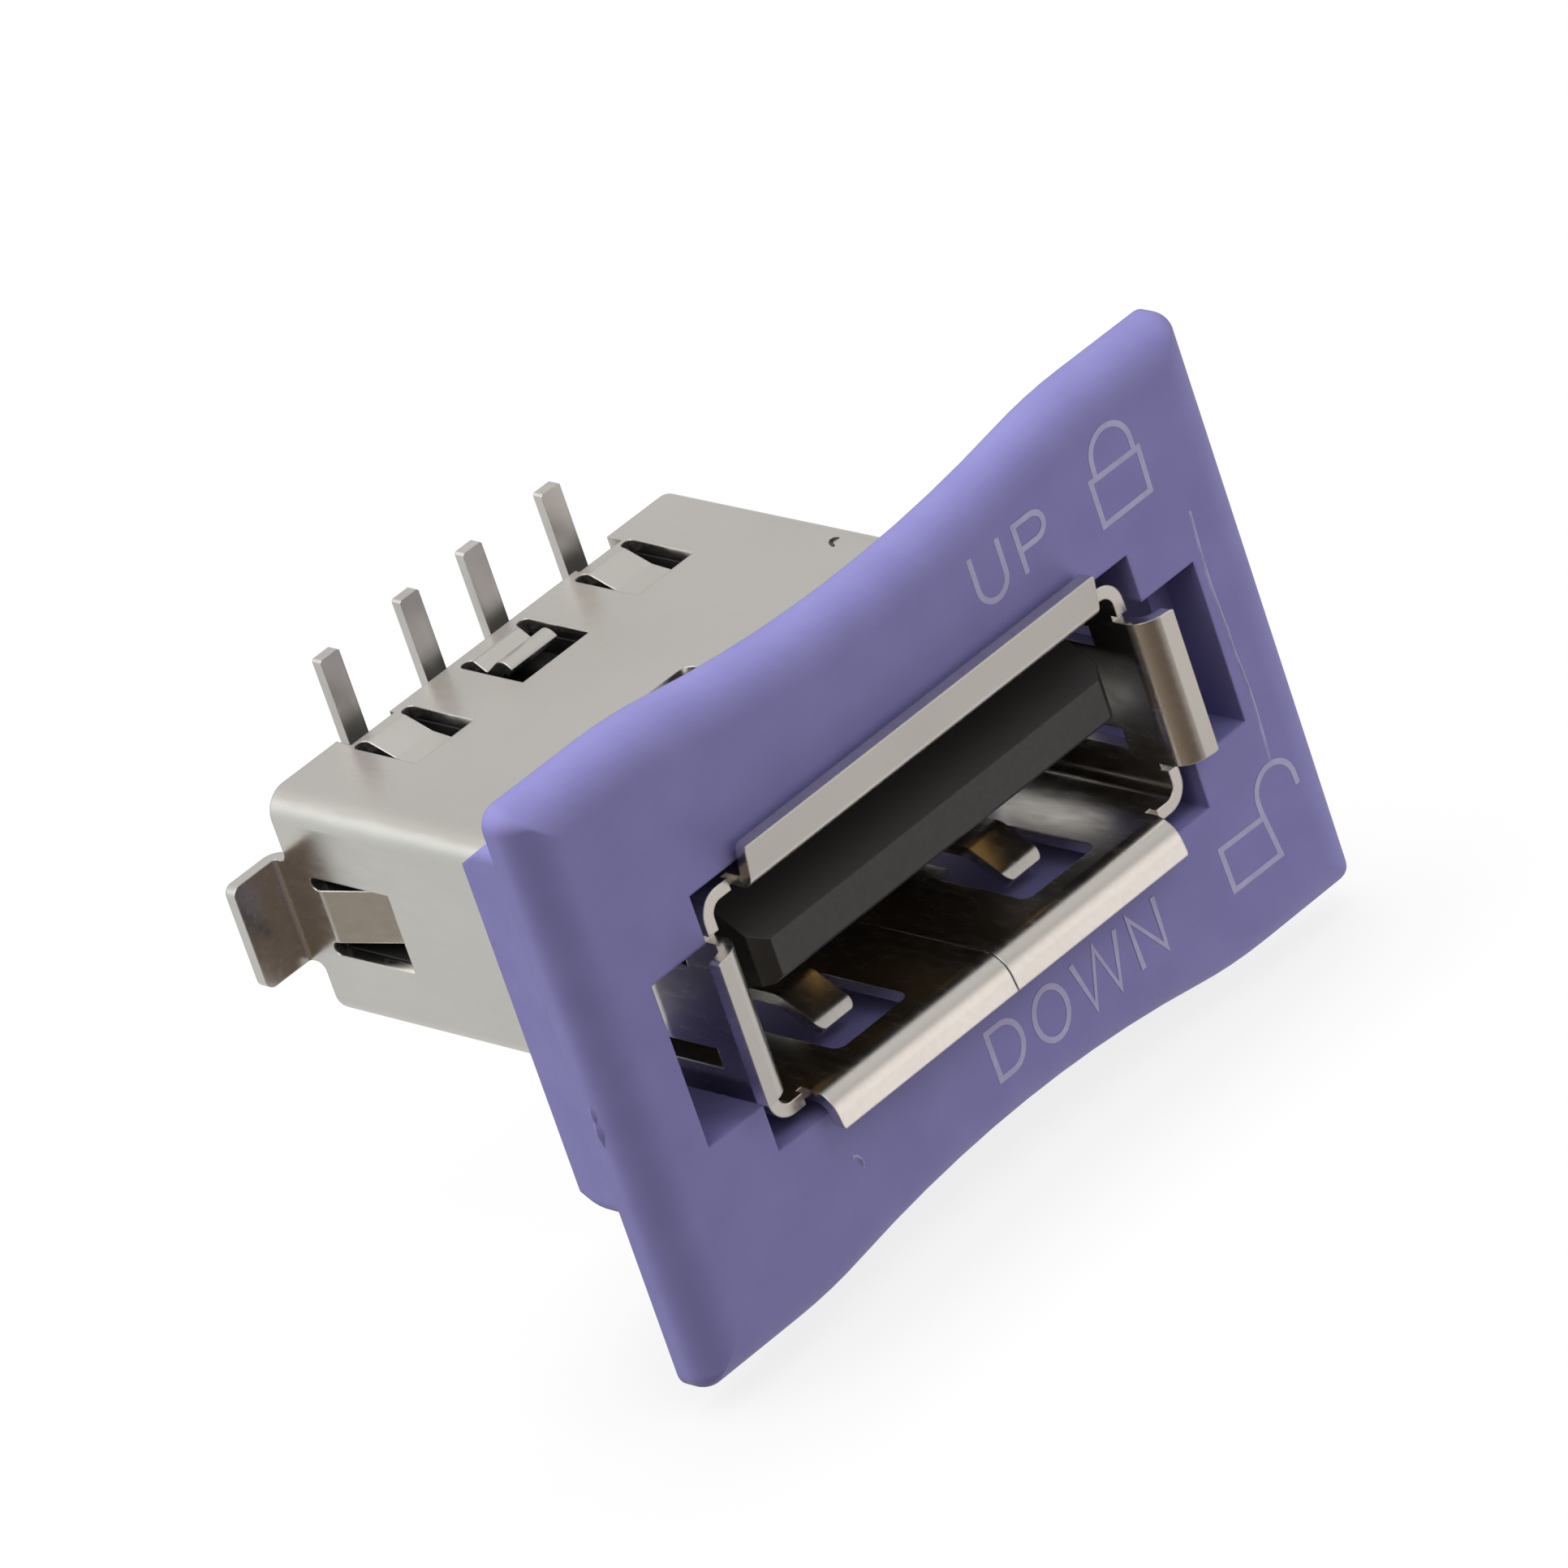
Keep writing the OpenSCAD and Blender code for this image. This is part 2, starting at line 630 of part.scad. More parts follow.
// The insulator: the block that fills the shell's rear, with the tongue
module insulator() {
    color(black) difference() {
        union() {
            along_y(block_y, block_rear_y) square([block_w, block_h], center = true);
            box(
                [-stop_tab_w, stop_tab_y - stop_tip_gap + 4 * insulator_fit, tongue_top - eps],
                [stop_tab_w, block_y + eps, block_h / 2]
            );
            intersection() {
                across(tongue_w) tongue_side();
                translate([0, 0, tongue_bottom - eps]) linear_extrude(tongue_t + 2 * eps) tongue_plan();
            }
        }
        both_sides() translate([outer_tab_x, 0, 0]) tab_pocket(outer_tab_w, inner_h, tab_set + tab_room);
        tab_pocket(middle_tab_w, inner_h, middle_tab_dip + 2 * tab_room);
        at_side_tabs() tab_pocket(side_tab_h, inner_w, side_tab_set + tab_room, side_tab_len);
        // The shell's bottom inner corners are round, so the block's long edges are cut
        for (sx = [-1, 1], sz = [-1, 1])
            translate([sx * block_w / 2, block_y - 2, sz * block_h / 2])
                rotate([0, 45, 0]) translate([-0.15, 0, -0.15]) cube([0.3, shell_len, 0.3]);
        both_sides() {
            contact_seat_cut(outer_contact_x, outer_contact_y);
            contact_seat_cut(inner_contact_x, inner_contact_y);
        }
    }
}

// The side view of a contact: sprung front, run through the block, tail up to the board
function contact_path(front) = rounded_path([
    [front, contact_z + 0.25],
    [front + contact_crest, contact_z - contact_drop],
    [block_y - 1.5, contact_z],
    [tail_y + contact_t, contact_z],
    [tail_y + contact_t, tail_tip_z]
], [0.8, 2, contact_r + contact_t], 8);

module contact(x, front) {
    wide_end = block_y + contact_hold;
    color(tin) translate([x, 0, 0]) {
        intersection() {
            across(contact_w) polygon(strip(contact_path(front), contact_t));
            box([-contact_w, 0, -shell_h], [contact_w, wide_end, shell_h]);
        }
        intersection() {
            across(tail_w) polygon(strip(contact_path(front), contact_t));
            box([-tail_w, wide_end - eps, -shell_h], [tail_w, tail_y + 1, shell_h]);
            along_y(0, tail_y + 1) polygon([
                [-tail_w, -shell_h],
                [-tail_w / 2, tail_tip_z - tail_bevel],
                [-tail_w / 2 + tail_bevel, tail_tip_z],
                [tail_w / 2 - tail_bevel, tail_tip_z],
                [tail_w / 2, tail_tip_z - tail_bevel],
                [tail_w, -shell_h]
            ]);
        }
    }
}

// The rim's curve, from the square edge at the rear to the front face
function rim_curve(n = 14) = [
    for (i = [0:n]) [rim_w * cos(90 * i / n), rim_edge + (plate_t - rim_edge) * sin(90 * i / n)]
];

// Section of the plate between two opposite edges
function plate_section(half, curve = rim_curve()) = concat(
    [[half, 0]],
    [for (p = curve) [half - rim_w + p[0], p[1]]],
    [for (i = [len(curve) - 1:-1:0]) [rim_w - half - curve[i][0], curve[i][1]]],
    [[-half, 0]]
);

// A section drawn along a straight line, with its outer side on the right
module sweep_straight(from, direction, length) {
    translate([from[0], from[1], 0]) rotate(direction) rotate([90, 0, 90])
        linear_extrude(length) mirror([1, 0]) children();
}

// A section turned about a point
module sweep_turn(at, start, angle) {
    translate([at[0], at[1], 0]) rotate(start) rotate_extrude(angle = angle) children();
}

// What is taken out of the plate's top edge for its bow
module bow_cut() {
    sweep = bow_angle + 3;
    translate([0, bow_z, 0]) rotate(-90 - sweep) rotate_extrude(angle = 2 * sweep, $fn = 240)
        polygon(concat(
            [[0, -eps], [bow_r - rim_w, -eps]],
            [for (p = rim_curve()) [bow_r - p[0], p[1]]],
            [[bow_r, plate_t + eps], [0, plate_t + eps]]
        ));
}

// What is taken off where the bow meets the straight edge, on one side
module bow_blend() {
    r = bow_blend_r;
    translate([blend_x, blend_z, 0]) rotate(90) rotate_extrude(angle = blend_angle, $fn = 240)
        polygon(concat(
            [[r + 1, -eps], [r, -eps]],
            [for (p = rim_curve()) [r - rim_w + p[0], p[1]]],
            [[r - rim_w, plate_t + eps], [r + 1, plate_t + eps]]
        ));
}

// What is taken off one corner of the plate's outline
module corner_cut() {
    r = plate_corner_r;
    translate([plate_w / 2 - r, plate_h / 2 - r, 0]) difference() {
        translate([0, 0, -eps]) cube([2 * r, 2 * r, plate_t + 2 * eps]);
        rotate_extrude(angle = 90) intersection() {
            polygon(concat(
                [[-rim_w, -2 * eps], [r, -2 * eps]],
                [for (p = rim_curve()) [r - rim_w + p[0], p[1]]],
                [[-rim_w, plate_t]]
            ));
            translate([0, -3 * eps]) square([2 * r, 2 * plate_t]);
        }
    }
}

// Section of the fillet where the collar leaves the plate's rear face
module fillet_section() {
    difference() {
        translate([-eps, -collar_fillet]) square([collar_fillet + eps, collar_fillet + eps]);
        translate([collar_fillet, -collar_fillet]) circle(collar_fillet);
    }
}

module collar_fillets() {
    flat_x = collar_w / 2 - collar_r;
    flat_z = collar_h / 2 - collar_r;
    for (turned = [0, 180]) rotate(turned) {
        sweep_straight([collar_w / 2, -flat_z], 90, 2 * flat_z) fillet_section();
        sweep_straight([flat_x, collar_h / 2], 180, 2 * flat_x) fillet_section();
        sweep_turn([flat_x, flat_z], 0, 90) translate([collar_r, 0]) fillet_section();
        sweep_turn([-flat_x, flat_z], 90, 90) translate([collar_r, 0]) fillet_section();
    }
}

// The plate lying on its rear face, front side up
module plate() {
    difference() {
        intersection() {
            translate([0, plate_h, 0]) rotate([90, 0, 0]) linear_extrude(2 * plate_h)
                polygon(plate_section(plate_w / 2));
            translate([-plate_w, 0, 0]) rotate([90, 0, 90]) linear_extrude(2 * plate_w)
                polygon(plate_section(plate_h / 2));
        }
        for (turned = [0, 180]) rotate(turned) bow_cut();
        for (sx = [0, 1], sz = [0, 1]) mirror([sx, 0, 0]) mirror([0, sz, 0]) {
            bow_blend();
            corner_cut();
        }
    }
}

// The collar, sloped at its rear edges above and below
module collar() {
    top = collar_h / 2;
    slope_y = collar_rear_y - collar_slope_y;
    intersection() {
        along_y(plate_rear_y - eps, collar_rear_y) rounded_rect(collar_w, collar_h, collar_r);
        across(2 * collar_w) polygon([
            [plate_y, -2 * top],
            [slope_y - collar_slope_y, -top - collar_slope_z],
            [collar_rear_y, -top + collar_slope_z],
            [collar_rear_y, top - collar_slope_z],
            [slope_y - collar_slope_y, top + collar_slope_z],
            [plate_y, 2 * top]
        ]);
    }
}

// The lock slide: bowed plate, collar and lip in one moulding round the shell
module lock_slide() {
    color(violet) difference() {
        union() {
            translate([0, plate_rear_y, 0]) rotate([90, 0, 0]) {
                plate();
                collar_fillets();
            }
            collar();
            box(
                [-lip_w / 2, collar_rear_y - eps, -window_h / 2 - lip_t],
                [lip_w / 2, collar_rear_y + lip_reach, -window_h / 2 + eps]
            );
        }
        along_y(plate_y - 1, collar_rear_y + 1) square([window_w, window_h], center = true);
        along_y(plate_y - 1, plate_rear_y) square([pocket_w, pocket_h], center = true);
        along_y(plate_y, collar_rear_y + 1) square([channel_w, pocket_h], center = true);
    }
}

shell();
insulator();
contact(-outer_contact_x, outer_contact_y);  // contact_1
contact(-inner_contact_x, inner_contact_y);  // contact_2
contact(inner_contact_x, inner_contact_y);  // contact_3
contact(outer_contact_x, outer_contact_y);  // contact_4
lock_slide();
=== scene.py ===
import math

import bmesh
import bpy
from mathutils import Matrix, Vector


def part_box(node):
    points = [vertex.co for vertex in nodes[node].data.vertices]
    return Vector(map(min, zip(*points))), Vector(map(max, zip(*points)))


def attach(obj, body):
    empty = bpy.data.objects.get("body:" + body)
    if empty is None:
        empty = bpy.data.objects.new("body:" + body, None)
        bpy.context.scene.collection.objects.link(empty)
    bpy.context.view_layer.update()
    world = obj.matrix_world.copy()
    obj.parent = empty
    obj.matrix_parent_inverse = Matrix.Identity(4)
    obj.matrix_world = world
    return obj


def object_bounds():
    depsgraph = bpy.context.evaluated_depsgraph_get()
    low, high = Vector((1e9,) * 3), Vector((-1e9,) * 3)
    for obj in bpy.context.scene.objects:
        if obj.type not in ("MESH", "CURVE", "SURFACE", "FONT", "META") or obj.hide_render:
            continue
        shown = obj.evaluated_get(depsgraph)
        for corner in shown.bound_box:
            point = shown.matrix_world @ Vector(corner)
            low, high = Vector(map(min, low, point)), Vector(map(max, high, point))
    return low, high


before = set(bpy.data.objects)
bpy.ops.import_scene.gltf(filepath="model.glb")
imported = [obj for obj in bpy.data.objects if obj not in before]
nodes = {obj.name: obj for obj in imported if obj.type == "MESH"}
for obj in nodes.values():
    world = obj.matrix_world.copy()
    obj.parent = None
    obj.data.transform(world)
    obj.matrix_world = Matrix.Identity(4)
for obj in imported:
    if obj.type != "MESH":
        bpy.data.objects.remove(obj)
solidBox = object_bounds()
mm = 0.001  # the frame is in metres
front = Vector((0, -1, 0))
left = Vector((-1, 0, 0))
up = Vector((0, 0, 1))
print("frame loaded:", ", ".join(sorted(nodes)))


def addObject(name, data):
    made = bpy.data.objects.new(name, data)
    bpy.context.scene.collection.objects.link(made)
    return made


# Camera: the photograph's place, turn and lens, for a square image
view = {
    "place": Vector((-153.78, -204.06, 135.71)) * mm,
    "right": Vector((0.6711, -0.6821, -0.2906)),
    "up": Vector((0.5224, 0.1569, 0.8381)),
    "back": Vector((-0.5261, -0.7142, 0.4616)),
    "sensor": 36.0,
    "lens": 314.56,
    "clip": (0.01, 10),
}
camera = addObject("camera", bpy.data.cameras.new("camera"))
turn = Matrix((view["right"], view["up"], view["back"])).transposed()
camera.matrix_world = Matrix.Translation(view["place"]) @ turn.to_4x4()
camera.data.sensor_width = view["sensor"]
camera.data.lens = view["lens"]
camera.data.clip_start, camera.data.clip_end = view["clip"]
bpy.context.scene.camera = camera
print("camera placed")


# Node helpers
def link(tree, a, aSocket, b, bSocket):
    tree.links.new(a.outputs[aSocket], b.inputs[bSocket])


def addNode(tree, kind, place, **values):
    node = tree.nodes.new(kind)
    node.location = place
    for name, value in values.items():
        setattr(node, name, value)
    return node


def setInputs(node, values):
    for name, value in values.items():
        node.inputs[name].default_value = value


# A group takes numbers and vectors, and puts out masks and one normal
def newGroup(name, inputs, masks):
    group = bpy.data.node_groups.new(name, "ShaderNodeTree")
    for label, value in inputs.items():
        kind = "NodeSocketVector" if isinstance(value, tuple) else "NodeSocketFloat"
        socket = group.interface.new_socket(label, in_out="INPUT", socket_type=kind)
        socket.default_value = value
    for label in masks:
        group.interface.new_socket(label, in_out="OUTPUT", socket_type="NodeSocketFloat")
    group.interface.new_socket("Normal", in_out="OUTPUT", socket_type="NodeSocketVector")
    start = addNode(group, "NodeGroupInput", (-900, 0))
    end = addNode(group, "NodeGroupOutput", (700, 0))
    return group, start, end


def useGroup(tree, group, place, values):
    node = addNode(tree, "ShaderNodeGroup", place, node_tree=group)
    setInputs(node, values)
    return node


# Textures: how fine their noise is, and where most of its values lie
texture = {
    "grainDetail": 3,
    "driftDetail": 4,
    "streakDetail": 0.5,
    "cloudDetail": 5,
    "noiseRange": (0.3, 0.7),
    "edgeSamples": 4,
}


def addNoise(group, place, detail):
    noise = addNode(group, "ShaderNodeTexNoise", place)
    noise.inputs["Detail"].default_value = detail
    return noise


# Bump from a noise, over edges that look slightly rounded
def linkNormal(group, start, end, noise):
    soft = addNode(group, "ShaderNodeBevel", (-100, -300), samples=texture["edgeSamples"])
    bump = addNode(group, "ShaderNodeBump", (300, -100))
    link(group, start, "Edge Radius", soft, "Radius")
    link(group, start, "Bump", bump, "Strength")
    link(group, start, "Bump Depth", bump, "Distance")
    link(group, noise, "Fac", bump, "Height")
    link(group, soft, "Normal", bump, "Normal")
    link(group, bump, "Normal", end, "Normal")


# Fine grain: a speckle of a stated size, its bump and a slow drift in tone
def makeGrainGroup():
    group, start, end = newGroup(
        "fineGrain",
        {
            "Grain Scale": 9000.0,
            "Drift Scale": 350.0,
            "Bump": 0.1,
            "Bump Depth": 0.00001,
            "Edge Radius": 0.00004,
        },
        ("Speckle", "Drift"),
    )
    place = addNode(group, "ShaderNodeTexCoord", (-900, 300))
    grain = addNoise(group, (-500, 200), texture["grainDetail"])
    drift = addNoise(group, (-500, -100), texture["driftDetail"])
    link(group, place, "Object", grain, "Vector")
    link(group, place, "Object", drift, "Vector")
    link(group, start, "Grain Scale", grain, "Scale")
    link(group, start, "Drift Scale", drift, "Scale")
    link(group, grain, "Fac", end, "Speckle")
    link(group, drift, "Fac", end, "Drift")
    linkNormal(group, start, end, grain)
    return group


# Rolled sheet: streaks along the rolling direction over slow cloudy patches
def makeRollGroup():
    group, start, end = newGroup(
        "rolledSheet",
        {
            "Streak Scale": (9000.0, 500.0, 9000.0),
            "Cloud Scale": 220.0,
            "Bump": 0.05,
            "Bump Depth": 0.000004,
            "Edge Radius": 0.00005,
        },
        ("Streak", "Cloud"),
    )
    place = addNode(group, "ShaderNodeTexCoord", (-900, 300))
    stretch = addNode(group, "ShaderNodeVectorMath", (-700, 200), operation="MULTIPLY")
    streak = addNoise(group, (-500, 200), texture["streakDetail"])
    streak.inputs["Scale"].default_value = 1  # stretch has scaled it already
    cloud = addNoise(group, (-500, -100), texture["cloudDetail"])
    link(group, place, "Object", stretch, 0)
    link(group, start, "Streak Scale", stretch, 1)
    link(group, stretch, "Vector", streak, "Vector")
    link(group, place, "Object", cloud, "Vector")
    link(group, start, "Cloud Scale", cloud, "Scale")
    link(group, streak, "Fac", end, "Streak")
    link(group, cloud, "Fac", end, "Cloud")
    linkNormal(group, start, end, streak)
    return group


grainGroup = makeGrainGroup()
rollGroup = makeRollGroup()
print("shared node groups made")


def newMaterial(name):
    material = bpy.data.materials.new(name)
    material.use_nodes = True
    tree = material.node_tree
    return material, tree, tree.nodes["Principled BSDF"]


def spread(tree, place, to, ends=texture["noiseRange"]):
    ramp = addNode(tree, "ShaderNodeMapRange", place)
    setInputs(ramp, {"From Min": ends[0], "From Max": ends[1], "To Min": to[0], "To Max": to[1]})
    return ramp


# One mask of a texture leads the colour, the other the roughness
def linkFinish(tree, shader, look, marking, toneMask, roughMask):
    tone = spread(tree, (-450, 200), (0, 1))
    tint = addNode(tree, "ShaderNodeMix", (-220, 200), data_type="RGBA")
    setInputs(tint, {"A": (*look["dark"], 1), "B": (*look["light"], 1)})
    rough = spread(tree, (-220, -100), look["rough"])
    link(tree, marking, toneMask, tone, "Value")
    link(tree, tone, "Result", tint, "Factor")
    link(tree, tint, "Result", shader, "Base Color")
    link(tree, marking, roughMask, rough, "Value")
    link(tree, rough, "Result", shader, "Roughness")
    link(tree, marking, "Normal", shader, "Normal")
    return tint


def makePlastic(name, look):
    material, tree, shader = newMaterial(name)
    grain = useGroup(tree, grainGroup, (-700, 0), look["grain"])
    linkFinish(tree, shader, look, grain, "Drift", "Speckle")
    shader.inputs["Specular IOR Level"].default_value = look["specular"]
    return material


# Gilding covers the front and fades out along Y, between its two ends
def gild(tree, shader, tint, gilding):
    place = addNode(tree, "ShaderNodeTexCoord", (-900, 500))
    split = addNode(tree, "ShaderNodeSeparateXYZ", (-700, 500))
    depth = spread(tree, (-450, 500), (1, 0), gilding["ends"])
    gilt = addNode(tree, "ShaderNodeMix", (0, 400), data_type="RGBA")
    gilt.inputs["B"].default_value = (*gilding["colour"], 1)
    link(tree, place, "Object", split, "Vector")
    link(tree, split, "Y", depth, "Value")
    link(tree, depth, "Result", gilt, "Factor")
    link(tree, tint, "Result", gilt, "A")
    link(tree, gilt, "Result", shader, "Base Color")


def makeMetal(name, look):
    material, tree, shader = newMaterial(name)
    roll = useGroup(tree, rollGroup, (-700, 0), look["roll"])
    tint = linkFinish(tree, shader, look, roll, "Cloud", "Streak")
    if "gilding" in look:
        gild(tree, shader, tint, look["gilding"])
    shader.inputs["Metallic"].default_value = 1
    return material


def dress(node, material):
    slots = nodes[node].data.materials
    slots.clear()
    slots.append(material)


# Lock slide: matte violet moulding
slideLook = {
    "dark": (0.180, 0.170, 0.400),
    "light": (0.200, 0.190, 0.434),
    "rough": (0.50, 0.62),
    "specular": 0.38,
    "grain": {
        "Grain Scale": 9000,
        "Drift Scale": 700,
        "Bump": 0.25,
        "Bump Depth": 0.000012,
        "Edge Radius": 0.0001,
    },
}
violetPlastic = makePlastic("violetPlastic", slideLook)
dress("lock_slide", violetPlastic)

# Insulator: black moulding
insulatorLook = {
    "dark": (0.007, 0.007, 0.007),
    "light": (0.011, 0.011, 0.011),
    "rough": (0.38, 0.52),
    "specular": 0.8,
    "grain": {
        "Grain Scale": 7000,
        "Drift Scale": 500,
        "Bump": 0.15,
        "Bump Depth": 0.00001,
        "Edge Radius": 0.00005,
    },
}
dress("insulator", makePlastic("blackPlastic", insulatorLook))

# Shell: satin plated sheet
shellLook = {
    "dark": (0.70, 0.675, 0.640),
    "light": (0.76, 0.735, 0.700),
    "rough": (0.22, 0.28),
    "roll": {
        "Streak Scale": (6000, 1500, 6000),
        "Cloud Scale": 220,
        "Bump": 0.008,
        "Bump Depth": 0.000004,
        "Edge Radius": 0.00005,
    },
}
dress("shell", makeMetal("platedSteel", shellLook))

# Contacts: tinned strip with upright streaks and gilded fronts
contactLook = {
    "count": 4,
    "dark": (0.68, 0.655, 0.620),
    "light": (0.78, 0.755, 0.720),
    "rough": (0.32, 0.42),
    "gilding": {"ends": (0.0078, 0.0086), "colour": (0.62, 0.40, 0.14)},
    "roll": {
        "Streak Scale": (9000, 9000, 900),
        "Cloud Scale": 600,
        "Bump": 0.03,
        "Bump Depth": 0.000004,
        "Edge Radius": 0.00004,
    },
}
tinnedBrass = makeMetal("tinnedBrass", contactLook)
for number in range(1, contactLook["count"] + 1):
    dress(f"contact_{number}", tinnedBrass)
print("materials on the solids")


# Marks: pale strokes printed on the plate's front face, in millimetres
markLook = {
    "stroke": 0.14,
    "mitre": 0.45,  # keeps the points of sharp corners short
    "lift": 0.004,
    "layer": 0.002,  # each stroke lies this far in front of the one before
    "dark": (0.33, 0.32, 0.51),
    "light": (0.39, 0.375, 0.57),
    "rough": (0.50, 0.62),
    "specular": 0.4,
    "grain": {
        "Grain Scale": 9000,
        "Drift Scale": 2500,
        "Bump": 0.25,
        "Bump Depth": 0.00001,
        "Edge Radius": 0.00001,
    },
}
paleInk = makePlastic("paleInk", markLook)
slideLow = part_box("lock_slide")[0]


def arc(centre, radii, start, end, steps=14):
    angles = [math.radians(start + (end - start) * i / steps) for i in range(steps + 1)]
    return [(centre[0] + radii[0] * math.cos(a), centre[1] + radii[1] * math.sin(a)) for a in angles]


def openStroke(*points):
    return points, False


def closedStroke(*points):
    return points, True


# The two sides of a stroke at each of its points, mitred at the corners
def strokeOutline(points, half, closed):
    count = len(points)
    sides = []
    for i, point in enumerate(points):
        before = Vector(points[i - 1]) if closed or i else None
        after = Vector(points[(i + 1) % count]) if closed or i < count - 1 else None
        here = Vector(point)
        ahead = (after - here).normalized() if after is not None else (here - before).normalized()
        behind = (here - before).normalized() if before is not None else ahead
        middle = (ahead + behind).normalized()
        across = Vector((-middle.y, middle.x)) * half / max(markLook["mitre"], middle.dot(ahead))
        sides.append((here + across, here - across))
    return sides


# An object from built faces, all turned to look outwards
def addMesh(name, build, outwards, material):
    build.normal_update()
    for face in build.faces:
        if face.normal.dot(outwards) < 0:
            face.normal_flip()
    mesh = bpy.data.meshes.new(name)
    build.to_mesh(mesh)
    build.free()
    mesh.materials.append(material)
    return addObject(name, mesh)


def makeMark(name, strokes):
    build = bmesh.new()
    depth = slideLow.y - markLook["lift"] * mm
    for layer, (points, closed) in enumerate(strokes):
        level = depth - layer * markLook["layer"] * mm
        rows = [
            [build.verts.new((side.x * mm, level, side.y * mm)) for side in pair]
            for pair in strokeOutline(points, markLook["stroke"] / 2, closed)
        ]
        if closed:
            rows.append(rows[0])
        for a, b in zip(rows, rows[1:]):
            build.faces.new((a[0], a[1], b[1], b[0]))
    mark = addMesh(name, build, front, paleInk)
    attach(mark, "slide")


marks = {
    "upMark": (
        openStroke((2.83, 5.55), *arc((3.26, 4.76), (0.43, 0.43), 180, 360), (3.70, 5.55)),
        openStroke((4.22, 4.37), (4.22, 5.59)),
        openStroke(
            (4.22, 5.52), (4.74, 5.52),
            *arc((4.74, 5.22), (0.32, 0.30), 80, -80, 8),
            (4.74, 4.92), (4.22, 4.92),
        ),
    ),
    "downMark": (
        closedStroke(
            (-0.76, -5.34), (-0.78, -4.17), (-0.36, -4.17),
            *arc((-0.36, -4.755), (0.50, 0.585), 80, -80, 10),
            (-0.36, -5.34),
        ),
        closedStroke(*arc((1.07, -4.80), (0.50, 0.62), 0, 345, 23)),
        openStroke((1.95, -4.15), (2.28, -5.42), (2.67, -4.15), (3.07, -5.42), (3.36, -4.12)),
        openStroke((3.82, -5.42), (3.78, -4.12), (4.60, -5.34), (4.62, -4.08)),
    ),
    "closedLockMark": (
        closedStroke((6.58, 5.19), (8.10, 5.18), (8.07, 4.13), (6.58, 4.12)),
        openStroke((6.75, 5.19), *arc((7.37, 5.52), (0.60, 0.60), 180, 0), (7.97, 5.19)),
    ),
    "openLockMark": (
        closedStroke((6.80, -4.26), (8.22, -4.29), (8.36, -5.33), (6.84, -5.31)),
        openStroke((8.20, -4.29), *arc((8.79, -3.90), (0.60, 0.60), 180, 0), (9.40, -4.15)),
    ),
}
for name, strokes in marks.items():
    makeMark(name, strokes)
print("marks printed on the plate")


# Traces of making: low arched ridges with their feet a little under the surface, in millimetres
ridgeForm = {
    "sink": 0.005,
    "endShare": 0.08,  # the arch is cut off this far from each end, so the ends keep some height
}


# Strips of faces between neighbouring rows of points
def makeTrace(name, rows, outwards, body, material):
    build = bmesh.new()
    lines = [[build.verts.new(point) for point in row] for row in rows]
    for a, b in zip(lines, lines[1:]):
        for i in range(len(a) - 1):
            build.faces.new((a[i], a[i + 1], b[i + 1], b[i]))
    trace = addMesh(name, build, outwards, material)
    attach(trace, body)


# lay puts a point of the path on its surface, at a height above it
def ridgeRows(trace, lay):
    path = trace["path"]
    sink, endShare = ridgeForm["sink"], ridgeForm["endShare"]
    rows = []
    for i, (one, other) in enumerate(strokeOutline(path, trace["half"], False)):
        along = endShare + (1 - 2 * endShare) * i / (len(path) - 1)
        crest = trace["rise"] * math.sin(math.pi * along)
        rows.append([lay(one, -sink), lay((one + other) / 2, crest), lay(other, -sink)])
    return rows


# Parting ridge and nick: paler plastic on the plate; on the ridge the paler colour is a painted
# highlight
ridgeHighlightAndNickLook = {
    "dark": (0.24, 0.232, 0.46),
    "light": (0.36, 0.35, 0.56),
    "rough": (0.50, 0.62),
    "specular": 0.4,
    "grain": {
        "Grain Scale": 9000,
        "Drift Scale": 2500,
        "Bump": 0.25,
        "Bump Depth": 0.00001,
        "Edge Radius": 0.00001,
    },
}
partingRidge = {
    "half": 0.055,
    "rise": 0.03,
    "path": (
        (8.90, 3.10), (8.86, 2.51), (8.82, 1.92), (8.81, 1.26), (8.84, 0.57), (8.87, 0.08),
        (8.86, -0.38), (8.90, -0.93), (8.935, -1.48), (8.93, -1.99), (8.91, -2.54), (8.87, -3.29),
    ),
}
plateNick = {
    "half": 0.05,
    "rise": 0.05,
    "path": ((-5.14, -4.50), (-5.03, -4.54), (-4.95, -4.66), (-4.92, -4.80), (-4.95, -4.90)),
}
ridgeHighlightAndNickViolet = makePlastic("ridgeHighlightAndNickViolet", ridgeHighlightAndNickLook)


def onPlate(point, height):
    return Vector((point.x * mm, slideLow.y - height * mm, point.y * mm))


ridge = ridgeRows(partingRidge, onPlate)
nick = ridgeRows(plateNick, onPlate)
# The parting ridge's paler plastic is a painted highlight along it
makeTrace("partingRidge", ridge, front, "slide", ridgeHighlightAndNickViolet)
makeTrace("plateNick", nick, front, "slide", ridgeHighlightAndNickViolet)

# Burr: a dark curl of sheet on the shell's top
burrLook = {
    "dark": (0.05, 0.048, 0.045),
    "light": (0.16, 0.155, 0.145),
    "rough": (0.5, 0.7),
    "roll": {
        "Streak Scale": (9000, 9000, 9000),
        "Cloud Scale": 6000,
        "Bump": 0.03,
        "Bump Depth": 0.000004,
    },
}
topBurr = {
    "surface": 2.85,
    "half": 0.05,
    "rise": 0.06,
    "path": ((5.60, 7.76), (5.66, 7.90), (5.72, 7.98), (5.84, 7.97), (5.92, 7.90)),
}
darkBurr = makeMetal("darkBurr", burrLook)


def onShellTop(point, height):
    return Vector((point.x * mm, point.y * mm, (topBurr["surface"] + height) * mm))


burr = ridgeRows(topBurr, onShellTop)
makeTrace("topBurr", burr, up, "receptacle", darkBurr)

